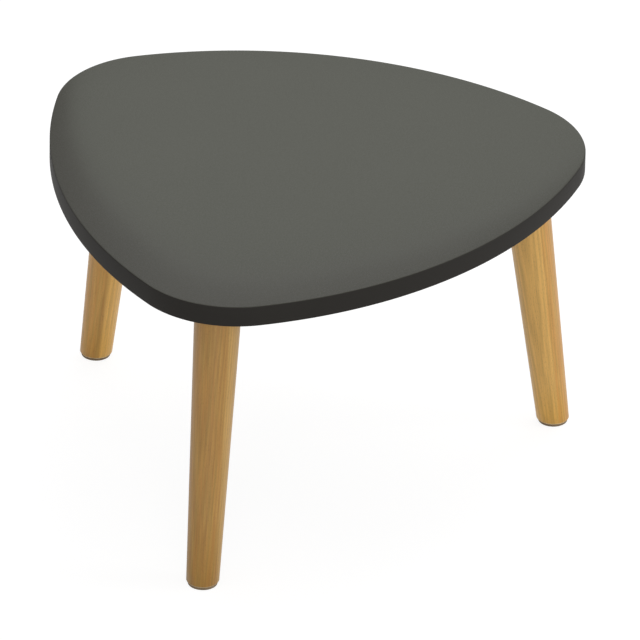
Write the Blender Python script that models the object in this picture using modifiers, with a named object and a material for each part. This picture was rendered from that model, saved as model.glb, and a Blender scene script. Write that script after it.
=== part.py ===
"""Triangular coffee table: a lacquered board on three splayed, turned legs that screw into steel plates.

Run it with blender --background --python part.py, or from Blender's text editor.
Lengths are in metres and +Z is up. The floor is at Z = 0. The nose of the board points along +X,
its other two corners lie towards +Y and -Y, and the board is mirror-symmetric about the XZ plane.
"""

from math import atan2, cos, pi, radians, sin, sqrt, tan

import bmesh
import bpy
from mathutils import Vector

# Whole table
TABLE_HEIGHT = 0.374
PIECE_GAP = 0.0003
CUT_OVERRUN = 0.004
WELD_DISTANCE = 0.00002
FLAT_ANGLE = radians(0.1)

# Board: a rounded triangle, its sides bowed outwards
BOARD_THICKNESS = 0.025
BOARD_EDGE_EASE = 0.0012
BOARD_EDGE_SEGMENTS = 2
BOARD_EDGE_ANGLE = radians(60)
NOSE_X = 0.217
NOSE_RADIUS = 0.1273
SHOULDER_X = -0.1085
SHOULDER_Y = 0.1755
SHOULDER_RADIUS = 0.1219
LONG_SIDE_RADIUS = 0.518
SHORT_SIDE_RADIUS = 0.5666
CORNER_STEPS = 24
SIDE_STEPS = 16

# Legs: turned cones, set in from the rim at each corner and splayed outwards from the middle of the board
NOSE_LEG_INSET = 0.0695
SHOULDER_LEG_INSET = 0.0641
LEG_SPLAY = radians(7.5)
LEG_HEAD_DIAMETER = 0.0536
LEG_FOOT_DIAMETER = 0.0374
LEG_EDGE_ROUND = 0.0014
LEG_EDGE_SEGMENTS = 2
LEG_EDGE_ANGLE = radians(50)
LEG_STEPS = 48

# Felt pads under the feet
PAD_INSET = 0.0015
PAD_THICKNESS = 0.003
PAD_STEPS = 40

# Leg plates: pressed steel squares with a raised round seat, tilted to the leg
PLATE_WIDTH = 0.070
PLATE_CORNER_RADIUS = 0.010
PLATE_CORNER_STEPS = 6
PLATE_THICKNESS = 0.0025
SEAT_DIAMETER = 0.046
SEAT_STEPS = 48

# Hanger bolts, M8, and the round nuts pressed into the plates
BOLT_DIAMETER = 0.008
BOLT_LENGTH_IN_LEG = 0.045
BOLT_END_BEYOND_NUT = 0.0016
BOLT_END_CLEARANCE = 0.0006
BOLT_POINT_LENGTH = 0.006
BOLT_POINT_DIAMETER = 0.003
BOLT_CHAMFER = 0.0008
BOLT_STEPS = 24
NUT_SPIGOT_WALL = 0.0013
NUT_HUB_WALL = 0.0022
NUT_HUB_LENGTH = 0.0046
NUT_FLANGE_WALL = 0.0042
NUT_FLANGE_THICKNESS = 0.0016
NUT_STEPS = 32

# Countersunk wood screws, four to a plate
SCREW_EDGE_DISTANCE = 0.010
SCREW_LENGTH = 0.020
SCREW_DIAMETER = 0.004
SCREW_POINT_LENGTH = 0.005
SCREW_HEAD_DIAMETER = 0.0078
SCREW_HEAD_DEPTH = 0.0019
SCREW_HEAD_LAND = 0.0003
SCREW_STEPS = 20
RECESS_SPAN = 0.0042
RECESS_ROOT = 0.0012
RECESS_TIP = 0.0009
RECESS_DEPTH = 0.0012

# Finishes: colour as sRGB hex, roughness, metallic
LACQUER = ("62625B", 0.42, 0.0)
BEECH = ("B68A4E", 0.45, 0.0)
FELT = ("6E6050", 0.95, 0.0)
ZINC = ("B9BBBC", 0.35, 1.0)

# Heights and places that follow from the sizes above
UNDERSIDE = TABLE_HEIGHT - BOARD_THICKNESS
PLATE_TOP = -PIECE_GAP
PLATE_BOTTOM = PLATE_TOP - PLATE_THICKNESS
BORE_RADIUS = BOLT_DIAMETER / 2 + PIECE_GAP
NUT_SPIGOT_RADIUS = BORE_RADIUS + NUT_SPIGOT_WALL
NUT_LOW = PLATE_THICKNESS + PIECE_GAP
BOLT_LENGTH_IN_PLATE = NUT_LOW + NUT_HUB_LENGTH + BOLT_END_BEYOND_NUT
BOLT_END_DEPTH = BOLT_LENGTH_IN_PLATE + BOLT_END_CLEARANCE
SEAT_DROP = BOLT_END_DEPTH * cos(LEG_SPLAY) + BOLT_DIAMETER / 2 * sin(LEG_SPLAY)
CORNERS = {
    "right": (Vector((NOSE_X, 0)), NOSE_RADIUS, LONG_SIDE_RADIUS, NOSE_LEG_INSET),
    "back": (Vector((SHOULDER_X, SHOULDER_Y)), SHOULDER_RADIUS, SHORT_SIDE_RADIUS, SHOULDER_LEG_INSET),
    "front": (Vector((SHOULDER_X, -SHOULDER_Y)), SHOULDER_RADIUS, LONG_SIDE_RADIUS, SHOULDER_LEG_INSET),
}


def clear_scene():
    """Remove every object, so that the script can be run again in an open file."""
    for old in list(bpy.data.objects):
        bpy.data.objects.remove(old, do_unlink=True)


def collection(name):
    """A collection of this name, linked to the scene and empty."""
    found = bpy.data.collections.get(name)
    if found is None:
        found = bpy.data.collections.new(name)
        bpy.context.scene.collection.children.link(found)
    return found


def linear(channel):
    """One sRGB channel, 0 to 1, as a linear value."""
    if channel <= 0.04045:
        return channel / 12.92
    return ((channel + 0.055) / 1.055) ** 2.4


def make_material(name, finish):
    """A Principled material with a finish's colour, roughness and metallic value."""
    code, roughness, metallic = finish
    channels = [linear(int(code[i : i + 2], 16) / 255) for i in (0, 2, 4)]
    material = bpy.data.materials.new(name)
    material.use_nodes = True
    shader = material.node_tree.nodes["Principled BSDF"]
    shader.inputs["Base Color"].default_value = (*channels, 1)
    shader.inputs["Roughness"].default_value = roughness
    shader.inputs["Metallic"].default_value = metallic
    material.diffuse_color = (*channels, 1)
    return material


def add_piece(name, mesh, finish, parent=None):
    """One real piece of the table as a named object, with its own material."""
    piece = bpy.data.objects.new(name, mesh)
    piece.parent = parent
    mesh.materials.append(make_material(f"{name}_finish", finish))
    collection("triangular_coffee_table").objects.link(piece)
    return piece


def add_cutter(name, mesh, parent=None):
    """A solid that only cuts or shapes others, kept out of renders."""
    cutter = bpy.data.objects.new(name, mesh)
    cutter.parent = parent
    cutter.hide_render = True
    cutter.display_type = "WIRE"
    collection("cutters").objects.link(cutter)
    return cutter


def add_empty(name, location, rotation, parent=None):
    """An empty that carries the pieces of one leg."""
    empty = bpy.data.objects.new(name, None)
    empty.location = location
    empty.rotation_euler = rotation
    empty.parent = parent
    empty.empty_display_size = SEAT_DROP
    collection("triangular_coffee_table").objects.link(empty)
    return empty


def boolean(piece, operation, cutter):
    """Cut, join or trim a piece with a cutter, exactly."""
    modifier = piece.modifiers.new(cutter.name, "BOOLEAN")
    modifier.operation = operation
    modifier.object = cutter
    modifier.solver = "EXACT"


def bevel(piece, width, segments, angle):
    """Round or chamfer the edges that are sharper than an angle."""
    modifier = piece.modifiers.new("eased_edges", "BEVEL")
    modifier.width = width
    modifier.segments = segments
    modifier.limit_method = "ANGLE"
    modifier.angle_limit = angle


def profile_mesh(name, profile, closed=False):
    """A chain of edges through points of radius and height, for turning; a ring's chain is closed."""
    mesh = bpy.data.meshes.new(name)
    points = [(radius, 0, height) for radius, height in profile]
    edges = [(i, i + 1) for i in range(len(points) - 1)]
    if closed:
        edges.append((len(points) - 1, 0))
    mesh.from_pydata(points, edges, [])
    return mesh


def turn(piece, steps):
    """Spin a piece's profile about its own Z axis."""
    modifier = piece.modifiers.new("turned", "SCREW")
    modifier.angle = 2 * pi
    modifier.steps = steps
    modifier.render_steps = steps
    modifier.use_merge_vertices = True
    modifier.merge_threshold = WELD_DISTANCE
    modifier.use_smooth_shade = True


def slab_mesh(name, outline, thickness):
    """A flat slab of an outline, from Z = 0 upwards, made from a filled curve and welded shut."""
    curve = bpy.data.curves.new(name, "CURVE")
    curve.dimensions = "2D"
    curve.fill_mode = "BOTH"
    curve.extrude = thickness / 2
    spline = curve.splines.new("POLY")
    spline.points.add(len(outline) - 1)
    for point, (x, y) in zip(spline.points, outline):
        point.co = (x, y, 0, 1)
    spline.use_cyclic_u = True
    holder = bpy.data.objects.new(name, curve)
    bpy.context.scene.collection.objects.link(holder)
    bpy.context.view_layer.update()
    depsgraph = bpy.context.evaluated_depsgraph_get()
    mesh = bpy.data.meshes.new_from_object(holder.evaluated_get(depsgraph))
    bpy.data.objects.remove(holder)
    bpy.data.curves.remove(curve)
    work = bmesh.new()
    work.from_mesh(mesh)
    bmesh.ops.remove_doubles(work, verts=work.verts, dist=WELD_DISTANCE)
    bmesh.ops.dissolve_limit(work, angle_limit=FLAT_ANGLE, verts=work.verts, edges=work.edges)
    bmesh.ops.translate(work, verts=work.verts, vec=(0, 0, thickness / 2))
    bmesh.ops.recalc_face_normals(work, faces=work.faces)
    work.to_mesh(mesh)
    work.free()
    mesh.name = name
    return mesh


def box_mesh(name, low, high):
    """A box between two corners."""
    mesh = bpy.data.meshes.new(name)
    size = Vector(high) - Vector(low)
    middle = (Vector(high) + Vector(low)) / 2
    work = bmesh.new()
    bmesh.ops.create_cube(work, size=1)
    bmesh.ops.scale(work, verts=work.verts, vec=size)
    bmesh.ops.translate(work, verts=work.verts, vec=middle)
    work.to_mesh(mesh)
    work.free()
    return mesh


def cylinder_mesh(name, radius, low, high, steps):
    """A cylinder about the Z axis, with whole end faces."""
    mesh = bpy.data.meshes.new(name)
    work = bmesh.new()
    bmesh.ops.create_cone(
        work, cap_ends=True, segments=steps, radius1=radius, radius2=radius, depth=high - low
    )
    bmesh.ops.translate(work, verts=work.verts, vec=(0, 0, (low + high) / 2))
    work.to_mesh(mesh)
    work.free()
    return mesh


def arc(centre, radius, start, end, steps):
    """Points on an arc, counter-clockwise, without its last point."""
    if end < start:
        end += 2 * pi
    angles = [start + (end - start) * i / steps for i in range(steps)]
    return [(centre.x + radius * cos(a), centre.y + radius * sin(a)) for a in angles]


def side_centre(corner, corner_radius, following, following_radius, side_radius):
    """Centre of a side's arc that runs smoothly out of one corner's circle and into the next."""
    along = following - corner
    span = along.length
    along = along / span
    inward = Vector((-along.y, along.x))
    reach = side_radius - corner_radius
    far_reach = side_radius - following_radius
    forward = (reach**2 - far_reach**2 + span**2) / (2 * span)
    return corner + along * forward + inward * sqrt(reach**2 - forward**2)


def direction(start, end):
    """Angle of the line from one point to another."""
    return atan2(end.y - start.y, end.x - start.x)


def board_outline():
    """The board seen from above, about the middle of its three corner circles."""
    corners = list(CORNERS.values())
    centres = []
    for i in range(len(corners)):
        corner, corner_radius, side_radius, _ = corners[i]
        following, following_radius, _, _ = corners[(i + 1) % len(corners)]
        centres.append(side_centre(corner, corner_radius, following, following_radius, side_radius))
    outline = []
    for i in range(len(corners)):
        corner, corner_radius, side_radius, _ = corners[i]
        following = corners[(i + 1) % len(corners)][0]
        before, after = centres[i - 1], centres[i]
        start, end = direction(before, corner), direction(after, corner)
        outline += arc(corner, corner_radius, start, end, CORNER_STEPS)
        outline += arc(after, side_radius, end, direction(after, following), SIDE_STEPS)
    return outline


def rounded_square(width, radius, steps):
    """A square with round corners, about its middle."""
    reach = width / 2 - radius
    outline = []
    for quarter in range(4):
        start = quarter * pi / 2
        across = Vector((cos(start) - sin(start), sin(start) + cos(start)))
        for i in range(steps + 1):
            angle = start + i * (pi / 2) / steps
            point = reach * across + radius * Vector((cos(angle), sin(angle)))
            outline.append((point.x, point.y))
    return outline


def cross_outline(span, root, tip):
    """A plus sign of four arms that narrow to their tips, about its middle."""
    outline = []
    for quarter in range(4):
        turned = quarter * pi / 2
        for x, y in ((root / 2, root / 2), (tip / 2, span / 2), (-tip / 2, span / 2)):
            outline.append((x * cos(turned) - y * sin(turned), x * sin(turned) + y * cos(turned)))
    return outline


def screw_profile(clearance):
    """A countersunk screw that points up, its head's face at Z = 0. A clearance fattens it into its hole."""
    shank = SCREW_DIAMETER / 2 + clearance
    head = SCREW_HEAD_DIAMETER / 2 + clearance
    under_head = SCREW_HEAD_LAND + SCREW_HEAD_DEPTH + clearance
    return [
        (0, SCREW_LENGTH + clearance),
        (shank, SCREW_LENGTH - SCREW_POINT_LENGTH + clearance),
        (shank, under_head),
        (head, SCREW_HEAD_LAND + clearance),
        (head, 0),
        (0, 0),
    ]


def screw_hole_profile():
    """A screw's hole, which also opens below the plate's face."""
    profile = screw_profile(PIECE_GAP)
    head = SCREW_HEAD_DIAMETER / 2 + PIECE_GAP
    return profile[:-2] + [(head, -CUT_OVERRUN), (0, -CUT_OVERRUN)]


def screw_places():
    """The four screw places on a plate, from its middle."""
    reach = PLATE_WIDTH / 2 - SCREW_EDGE_DISTANCE
    return [(reach, reach), (-reach, reach), (-reach, -reach), (reach, -reach)]


def make_board(shift):
    """The board: a lacquered slab with eased edges, and blind pilot holes in its underside."""
    outline = [(x + shift, y) for x, y in board_outline()]
    board = add_piece("table_top", slab_mesh("table_top", outline, BOARD_THICKNESS), LACQUER)
    board.location = (0, 0, UNDERSIDE)
    bevel(board, BOARD_EDGE_EASE, BOARD_EDGE_SEGMENTS, BOARD_EDGE_ANGLE)
    return board


def make_plate(name, corner, axis):
    """The pressed plate: a square with a hollow round seat, tilted square to the leg."""
    outline = rounded_square(PLATE_WIDTH, PLATE_CORNER_RADIUS, PLATE_CORNER_STEPS)
    plate_name = f"leg_plate_{name}"
    plate = add_piece(plate_name, slab_mesh(plate_name, outline, PLATE_THICKNESS), ZINC, corner)
    plate.location = (0, 0, PLATE_BOTTOM)

    seat_radius = SEAT_DIAMETER / 2
    seat_height = SEAT_DROP + seat_radius * tan(LEG_SPLAY)
    seat_name = f"seat_form_{name}"
    seat = add_cutter(seat_name, cylinder_mesh(seat_name, seat_radius, 0, seat_height, SEAT_STEPS), axis)
    trim_low = PLATE_BOTTOM + PLATE_THICKNESS / 2
    trim = add_cutter(
        f"seat_trim_{name}",
        box_mesh(
            f"seat_trim_{name}",
            (-PLATE_WIDTH, -PLATE_WIDTH, trim_low),
            (PLATE_WIDTH, PLATE_WIDTH, trim_low + seat_height),
        ),
        corner,
    )
    boolean(seat, "DIFFERENCE", trim)
    boolean(plate, "UNION", seat)

    hollow_radius = seat_radius - PLATE_THICKNESS
    nut_hole_radius = NUT_SPIGOT_RADIUS + PIECE_GAP
    hollow = add_cutter(
        f"seat_hollow_{name}",
        profile_mesh(
            f"seat_hollow_{name}",
            [
                (0, seat_height + CUT_OVERRUN),
                (hollow_radius, seat_height + CUT_OVERRUN),
                (hollow_radius, PLATE_THICKNESS),
                (nut_hole_radius, PLATE_THICKNESS),
                (nut_hole_radius, -CUT_OVERRUN),
                (0, -CUT_OVERRUN),
            ],
        ),
        axis,
    )
    turn(hollow, SEAT_STEPS)
    boolean(plate, "DIFFERENCE", hollow)
    return plate


def make_screws(name, corner, plate, board):
    """Four countersunk screws with cross recesses, with their holes in the plate and the board."""
    recess_outline = cross_outline(RECESS_SPAN, RECESS_ROOT, RECESS_TIP)
    for number, (x, y) in enumerate(screw_places(), start=1):
        screw_name = f"plate_screw_{name}_{number}"
        screw = add_piece(screw_name, profile_mesh(screw_name, screw_profile(0)), ZINC, corner)
        screw.location = (x, y, PLATE_BOTTOM)
        turn(screw, SCREW_STEPS)
        recess_name = f"recess_{name}_{number}"
        recess_mesh = slab_mesh(recess_name, recess_outline, RECESS_DEPTH + CUT_OVERRUN)
        recess = add_cutter(recess_name, recess_mesh, corner)
        recess.location = (x, y, PLATE_BOTTOM - CUT_OVERRUN)
        boolean(screw, "DIFFERENCE", recess)
        hole_name = f"screw_hole_{name}_{number}"
        hole = add_cutter(hole_name, profile_mesh(hole_name, screw_hole_profile()), corner)
        hole.location = (x, y, PLATE_BOTTOM)
        turn(hole, SCREW_STEPS)
        boolean(plate, "DIFFERENCE", hole)
        boolean(board, "DIFFERENCE", hole)


def make_nut(name, axis):
    """The round nut: a spigot through the seat's floor, a flange on it and a hub above."""
    flange_high = NUT_LOW + NUT_FLANGE_THICKNESS
    hub_high = NUT_LOW + NUT_HUB_LENGTH
    hub_radius = BORE_RADIUS + NUT_HUB_WALL
    flange_radius = BORE_RADIUS + NUT_FLANGE_WALL
    profile = [
        (BORE_RADIUS, PIECE_GAP),
        (BORE_RADIUS, hub_high),
        (hub_radius, hub_high),
        (hub_radius, flange_high),
        (flange_radius, flange_high),
        (flange_radius, NUT_LOW),
        (NUT_SPIGOT_RADIUS, NUT_LOW),
        (NUT_SPIGOT_RADIUS, PIECE_GAP),
    ]
    nut = add_piece(f"leg_nut_{name}", profile_mesh(f"leg_nut_{name}", profile, closed=True), ZINC, axis)
    turn(nut, NUT_STEPS)


def make_bolt(name, axis):
    """The hanger bolt: a pointed wood end down in the leg, a machine end up through the nut."""
    radius = BOLT_DIAMETER / 2
    profile = [
        (0, BOLT_LENGTH_IN_PLATE),
        (radius - BOLT_CHAMFER, BOLT_LENGTH_IN_PLATE),
        (radius, BOLT_LENGTH_IN_PLATE - BOLT_CHAMFER),
        (radius, BOLT_POINT_LENGTH - BOLT_LENGTH_IN_LEG),
        (BOLT_POINT_DIAMETER / 2, -BOLT_LENGTH_IN_LEG),
        (0, -BOLT_LENGTH_IN_LEG),
    ]
    bolt = add_piece(f"hanger_bolt_{name}", profile_mesh(f"hanger_bolt_{name}", profile), ZINC, axis)
    turn(bolt, BOLT_STEPS)


def make_leg(name, corner, axis):
    """The turned leg: square to its axis at the head, cut level with the floor at the foot."""
    drop = UNDERSIDE - SEAT_DROP
    length = drop / cos(LEG_SPLAY)
    overlength = length + LEG_FOOT_DIAMETER * tan(LEG_SPLAY)
    slope = (LEG_HEAD_DIAMETER - LEG_FOOT_DIAMETER) / 2 / length
    bore_depth = BOLT_LENGTH_IN_LEG + PIECE_GAP
    profile = [
        (0, -bore_depth),
        (BORE_RADIUS, -bore_depth),
        (BORE_RADIUS, -PIECE_GAP),
        (LEG_HEAD_DIAMETER / 2, -PIECE_GAP),
        (LEG_HEAD_DIAMETER / 2 - slope * overlength, -overlength),
        (0, -overlength),
    ]
    leg = add_piece(f"leg_{name}", profile_mesh(f"leg_{name}", profile), BEECH, axis)
    turn(leg, LEG_STEPS)

    foot_level = PAD_THICKNESS + PIECE_GAP - UNDERSIDE
    foot_x = -foot_level * tan(LEG_SPLAY)
    saw_reach = LEG_HEAD_DIAMETER
    saw = add_cutter(
        f"foot_saw_{name}",
        box_mesh(
            f"foot_saw_{name}",
            (foot_x - saw_reach, -saw_reach, foot_level - LEG_HEAD_DIAMETER),
            (foot_x + saw_reach, saw_reach, foot_level),
        ),
        corner,
    )
    boolean(leg, "DIFFERENCE", saw)
    bevel(leg, LEG_EDGE_ROUND, LEG_EDGE_SEGMENTS, LEG_EDGE_ANGLE)

    pad_radius = LEG_FOOT_DIAMETER / 2 - PAD_INSET
    pad_mesh = cylinder_mesh(f"foot_pad_{name}", pad_radius, 0, PAD_THICKNESS, PAD_STEPS)
    pad = add_piece(f"foot_pad_{name}", pad_mesh, FELT, corner)
    pad.location = (foot_x, 0, -UNDERSIDE)


def main():
    clear_scene()
    outline = board_outline()
    shift = -(max(x for x, _ in outline) + min(x for x, _ in outline)) / 2
    middle = sum((place for place, _, _, _ in CORNERS.values()), Vector((0, 0))) / len(CORNERS)
    board = make_board(shift)
    for name, (place, corner_radius, _, leg_inset) in CORNERS.items():
        outward = (place - middle).normalized()
        leg_place = place + outward * (corner_radius - leg_inset) + Vector((shift, 0))
        corner = add_empty(
            f"corner_{name}",
            (leg_place.x, leg_place.y, UNDERSIDE),
            (0, 0, atan2(outward.y, outward.x)),
        )
        axis = add_empty(
            f"leg_axis_{name}",
            (SEAT_DROP * tan(LEG_SPLAY), 0, -SEAT_DROP),
            (0, -LEG_SPLAY, 0),
            corner,
        )
        plate = make_plate(name, corner, axis)
        make_screws(name, corner, plate, board)
        make_nut(name, axis)
        make_bolt(name, axis)
        make_leg(name, corner, axis)
        print(f"leg {name}: plate at {leg_place.x:.4f}, {leg_place.y:.4f}")


main()
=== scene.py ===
"""Looks of a triangular coffee table: a lacquered board on three turned wooden legs, each of them screwed
into a pressed steel plate under the board.

Lengths are in metres and +Z is up, with the floor at Z = 0. The nose of the board points along +X.
The file follows the table as it is put together: board, leg plates, screws, nuts, hanger bolts, legs and
felt pads, and then the floor, the lamps, the camera and two reflecting panels.
"""

from math import atan2, cos, pi, radians, sin, tan

import bpy
import numpy as np
from mathutils import Matrix, Vector


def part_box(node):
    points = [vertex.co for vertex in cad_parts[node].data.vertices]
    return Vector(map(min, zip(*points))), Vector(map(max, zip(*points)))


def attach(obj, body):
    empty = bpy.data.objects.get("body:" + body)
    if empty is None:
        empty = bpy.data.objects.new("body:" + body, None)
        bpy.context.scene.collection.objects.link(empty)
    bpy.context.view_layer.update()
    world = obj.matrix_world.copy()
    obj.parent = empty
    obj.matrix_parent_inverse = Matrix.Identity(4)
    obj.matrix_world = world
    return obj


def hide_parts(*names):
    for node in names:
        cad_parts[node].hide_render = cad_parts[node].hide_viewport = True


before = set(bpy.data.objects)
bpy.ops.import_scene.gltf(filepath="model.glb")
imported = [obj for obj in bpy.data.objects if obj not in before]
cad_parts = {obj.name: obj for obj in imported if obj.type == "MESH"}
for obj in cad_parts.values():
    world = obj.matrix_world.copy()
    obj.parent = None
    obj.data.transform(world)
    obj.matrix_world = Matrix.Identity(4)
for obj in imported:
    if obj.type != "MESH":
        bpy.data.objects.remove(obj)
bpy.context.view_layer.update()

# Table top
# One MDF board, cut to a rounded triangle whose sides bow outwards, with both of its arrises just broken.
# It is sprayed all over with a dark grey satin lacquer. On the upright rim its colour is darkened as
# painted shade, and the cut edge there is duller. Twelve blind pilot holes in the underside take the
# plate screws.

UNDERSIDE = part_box("table_top")[0].z
TABLE_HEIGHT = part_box("table_top")[1].z
PIECE_GAP = 0.0003
NOSE_X = 0.217
NOSE_RADIUS = 0.1273
SHOULDER_X = -0.1085
SHOULDER_Y = 0.1755
SHOULDER_RADIUS = 0.1219
LONG_SIDE_RADIUS = 0.518
SHORT_SIDE_RADIUS = 0.5666
CORNER_STEPS = 96
SIDE_STEPS = 48
ARRIS_RADIUS = 0.0012
ARRIS_STEPS = 6
ARRIS_LAND = 0.0008

FACE_COLOUR = "47463F"
FACE_CLOUD_COLOUR = "44433C"
# Painted shade: the upright rim takes this darker colour.
RIM_SHADE_COLOUR = "2F2D2A"
CLOUD_SIZE = 0.09
CLOUD_DETAIL = 2
ORANGE_PEEL_SIZE = 0.0024
ORANGE_PEEL_DETAIL = 1
ORANGE_PEEL_HEIGHT = 0.000012
MATTING_SIZE = 0.0007
MATTING_DETAIL = 2
MATTING_HEIGHT = 0.000004
FACE_ROUGHNESS = 0.23
RIM_ROUGHNESS = 0.56
ROUGHNESS_SPREAD = 0.08
LACQUER_SPECULAR = 0.1
RIM_UPRIGHTNESS = 0.5
FACE_FLATNESS = 0.95
SMOOTH_ANGLE = radians(30)

CORNERS = {
    "right": (np.array((NOSE_X, 0)), NOSE_RADIUS, LONG_SIDE_RADIUS),
    "back": (np.array((SHOULDER_X, SHOULDER_Y)), SHOULDER_RADIUS, SHORT_SIDE_RADIUS),
    "front": (np.array((SHOULDER_X, -SHOULDER_Y)), SHOULDER_RADIUS, LONG_SIDE_RADIUS),
}


def side_centre(corner, corner_radius, following, following_radius, side_radius):
    """Centre of a side's arc, which touches both corner circles from inside.

    Its distance from each corner's centre is the side's radius less the corner's, so it is the tip of a
    triangle on the line between the two centres."""
    along = following - corner
    span = np.hypot(*along)
    along = along / span
    inward = np.array((-along[1], along[0]))
    reach = side_radius - corner_radius
    far_reach = side_radius - following_radius
    forward = (reach**2 - far_reach**2 + span**2) / (2 * span)
    return corner + along * forward + inward * np.sqrt(reach**2 - forward**2)


def arc(centre, radius, start, end, steps):
    """Places along an arc from one direction to another, and the outward direction at each.

    A place is the centre plus the radius times the unit vector of its angle. The last one is left out."""
    first = atan2(*(start - centre)[::-1])
    last = atan2(*(end - centre)[::-1])
    if last < first:
        last += 2 * pi
    angles = np.linspace(first, last, steps, endpoint=False)
    outward = np.column_stack((np.cos(angles), np.sin(angles)))
    return centre + radius * outward, outward


def board_outline():
    """The board's outline from above: an arc round each corner's circle, then the arc of the next side."""
    corners = list(CORNERS.values())
    count = len(corners)
    centres = []
    for i in range(count):
        corner, corner_radius, side_radius = corners[i]
        following, following_radius, _ = corners[(i + 1) % count]
        centres.append(side_centre(corner, corner_radius, following, following_radius, side_radius))
    stretches = []
    for i in range(count):
        corner, corner_radius, side_radius = corners[i]
        following = corners[(i + 1) % count][0]
        before, after = centres[i - 1], centres[i]
        stretches.append(arc(corner, corner_radius, 2 * corner - before, 2 * corner - after, CORNER_STEPS))
        stretches.append(arc(after, side_radius, corner, following, SIDE_STEPS))
    places = np.concatenate([places for places, _ in stretches])
    outward = np.concatenate([outward for _, outward in stretches])
    shift = (places[:, 0].max() + places[:, 0].min()) / 2
    return places - (shift, 0), outward, shift


def ring_mesh(name, rings, looped=False):
    """Skin a stack of rings, an array of rings by places by 3, that run counter-clockwise about their axis.

    Quads join each ring to the next, and outer sides climb. The end rings are closed by one flat face each,
    or a looped stack runs back into its first ring."""
    count, size = rings.shape[:2]
    index = np.arange(count * size).reshape(count, size)
    low = index if looped else index[:-1]
    high = np.roll(index, -1, axis=0) if looped else index[1:]
    beside_low = np.roll(low, -1, axis=1)
    beside_high = np.roll(high, -1, axis=1)
    faces = np.stack((low, beside_low, beside_high, high), axis=-1).reshape(-1, 4).tolist()
    if not looped:
        faces += [index[0, ::-1].tolist(), index[-1].tolist()]
    mesh = bpy.data.meshes.new(name)
    mesh.from_pydata(rings.reshape(-1, 3), [], faces)
    mesh.validate()
    return mesh


def board_mesh(places, outward):
    """The board: its outline carried up a section whose two arrises are quarter circles.

    A ring lies at one height and inset of the section, and each of its places is the outline's own place
    moved inwards by that inset. A narrow flat land follows each arris."""
    quarter = np.linspace(0, pi / 2, ARRIS_STEPS + 1)
    inset = ARRIS_RADIUS * (1 - np.sin(quarter))
    rise = ARRIS_RADIUS * (1 - np.cos(quarter))
    land = ARRIS_RADIUS + ARRIS_LAND
    insets = np.concatenate(((land,), inset, inset[::-1], (land,)))
    heights = np.concatenate(((UNDERSIDE,), UNDERSIDE + rise, TABLE_HEIGHT - rise[::-1], (TABLE_HEIGHT,)))
    rings = np.empty((len(insets), len(places), 3))
    rings[..., :2] = places - insets[:, None, None] * outward
    rings[..., 2] = heights[:, None]
    return ring_mesh("board", rings)


def new_object(name, data):
    """An object of some mesh, light or camera, put into the scene."""
    made = bpy.data.objects.new(name, data)
    bpy.context.scene.collection.objects.link(made)
    return made


def add_piece(name, mesh, material, node, smooth_angle=SMOOTH_ANGLE):
    """One piece of the table: it rides with the frame, stands for its node and takes its finish."""
    mesh.materials.clear()
    mesh.materials.append(material)
    mesh.shade_smooth()
    mesh.set_sharp_from_angle(angle=smooth_angle)
    piece = new_object(name, mesh)
    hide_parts(node)
    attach(piece, "root")


# The Mix node's sockets share their names, so they go by number: two colours and their mix, or two values.
COLOUR_A = 6
COLOUR_B = 7
MIXED_COLOUR = 2
VALUE_A = 2
VALUE_B = 3


def linear(code):
    """An sRGB hex colour as linear red, green, blue and alpha."""
    channels = np.array([int(code[i : i + 2], 16) / 255 for i in (0, 2, 4)])
    low = channels / 12.92
    high = ((channels + 0.055) / 1.055) ** 2.4
    return (*np.where(channels <= 0.04045, low, high), 1)


def add_node(tree, kind, inputs=(), **settings):
    """Add a node with its settings. Inputs map its sockets, by name or number, to values or other outputs."""
    node = tree.nodes.new(kind)
    for name, value in settings.items():
        setattr(node, name, value)
    for socket, value in dict(inputs).items():
        if isinstance(value, bpy.types.NodeSocket):
            tree.links.new(value, node.inputs[socket])
        else:
            node.inputs[socket].default_value = value
    return node


def new_material(name):
    """An empty material, with its tree, its shader and its object coordinates."""
    material = bpy.data.materials.new(name)
    material.use_nodes = True
    tree = material.node_tree
    coordinates = add_node(tree, "ShaderNodeTexCoord").outputs["Object"]
    return material, tree, tree.nodes["Principled BSDF"], coordinates


def feed_shader(tree, shader, colour, roughness, bump):
    """Feed a shader's colour, roughness and normal."""
    tree.links.new(colour, shader.inputs["Base Color"])
    tree.links.new(roughness, shader.inputs["Roughness"])
    tree.links.new(bump, shader.inputs["Normal"])


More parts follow.
